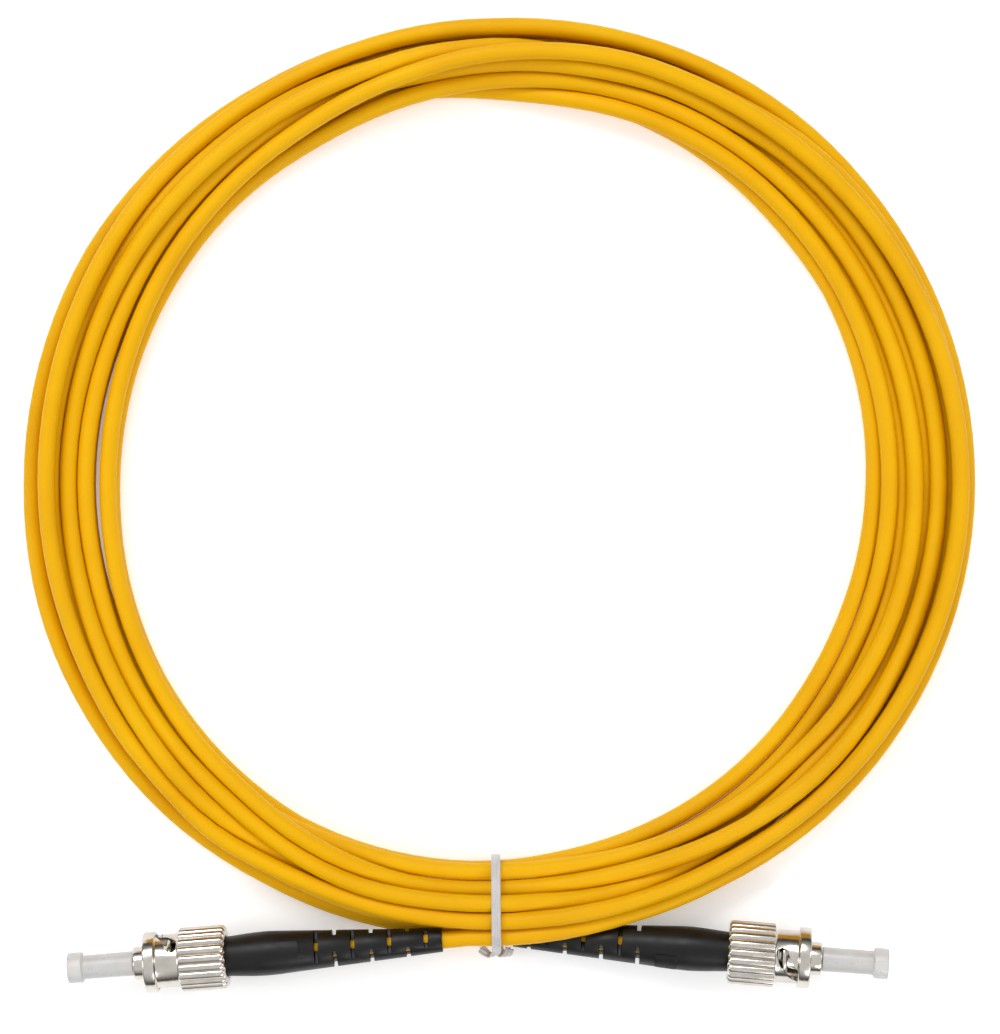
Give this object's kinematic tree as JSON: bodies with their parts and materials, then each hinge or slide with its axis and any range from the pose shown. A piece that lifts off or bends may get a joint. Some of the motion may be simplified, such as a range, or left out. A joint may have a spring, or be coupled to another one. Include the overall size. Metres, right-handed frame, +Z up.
{
  "type": "fiber optic patch cord",
  "caption": "Coiled simplex fibre optic patch cord with a sprung bayonet nut, tapered boot and dust cap on each end, bundled by a twist tie.",
  "frame": {"origin": "on the surface the cord lies on, under the middle of the pair of connectors", "axes": "+X along the two connectors from the left plug to the right plug, +Y from the connectors towards the coil, +Z up"},
  "size_m": [0.1669, 0.169, 0.012],
  "materials": {
    "jacket_yellow": "satin yellow PVC cord jacket",
    "boot_rubber": "matte black moulded elastomer",
    "nickel_plate": "bright nickel plate on brass, slightly warm",
    "spring_steel": "bright drawn steel",
    "zirconia": "polished white zirconia ceramic",
    "cap_plastic": "translucent natural polyethylene",
    "crimp_brass": "plain turned brass",
    "buffer_plastic": "white tight buffer",
    "aramid": "fine straw-yellow aramid yarn",
    "tie_plastic": "translucent soft plastic strip"
  },
  "bodies": {
    "cord_assembly": {"ferrule_a": "zirconia", "ferrule_b": "zirconia", "plug_body_a": "nickel_plate", "plug_body_b": "nickel_plate", "nut_spring_a": "spring_steel", "nut_spring_b": "spring_steel", "retaining_clip_a": "spring_steel", "retaining_clip_b": "spring_steel", "crimp_sleeve_a": "crimp_brass", "crimp_sleeve_b": "crimp_brass", "boot_a": "boot_rubber", "boot_b": "boot_rubber", "guide_tube_a": "crimp_brass", "guide_tube_b": "crimp_brass", "buffered_fibre_a": "buffer_plastic", "buffered_fibre_b": "buffer_plastic", "aramid_yarn_a": "aramid", "aramid_yarn_b": "aramid", "cord_tail_a": "jacket_yellow", "cord_tail_b": "jacket_yellow", "cord_coil": "jacket_yellow", "tie_strip": "tie_plastic", "tie_wire": "spring_steel"},
    "nut_carrier_a": {"spring_washer_a": "spring_steel"},
    "nut_a": {"coupling_nut_a": "nickel_plate"},
    "cap_a": {"dust_cap_a": "cap_plastic"},
    "nut_carrier_b": {"spring_washer_b": "spring_steel"},
    "nut_b": {"coupling_nut_b": "nickel_plate"},
    "cap_b": {"dust_cap_b": "cap_plastic"}
  },
  "joints": [
    {"name": "nut_slide_a", "type": "slide", "parent": "cord_assembly", "child": "nut_carrier_a", "axis": [-0.9971, -0.0758, 0], "range_m": [0, 0.0019], "stiffness_N_per_m": 1000, "deforming": ["nut_spring_a"]},
    {"name": "nut_turn_a", "type": "hinge", "parent": "nut_carrier_a", "child": "nut_a", "pos_m": [-0.0502, -0.0005, 0.00565], "axis": [-0.9971, -0.0758, 0], "continuous": true},
    {"name": "cap_pull_a", "type": "slide", "parent": "cord_assembly", "child": "cap_a", "axis": [-0.9971, -0.0758, 0], "range_m": [0, 0.012]},
    {"name": "nut_slide_b", "type": "slide", "parent": "cord_assembly", "child": "nut_carrier_b", "axis": [0.9942, -0.0638, 0.0872], "range_m": [0, 0.0019], "stiffness_N_per_m": 1000, "deforming": ["nut_spring_b"]},
    {"name": "nut_turn_b", "type": "hinge", "parent": "nut_carrier_b", "child": "nut_b", "pos_m": [0.0498, 0.00039, 0.00621], "axis": [0.9942, -0.0638, 0.0872], "continuous": true},
    {"name": "cap_pull_b", "type": "slide", "parent": "cord_assembly", "child": "cap_b", "axis": [0.9942, -0.0638, 0.0872], "range_m": [0, 0.012]}
  ]
}
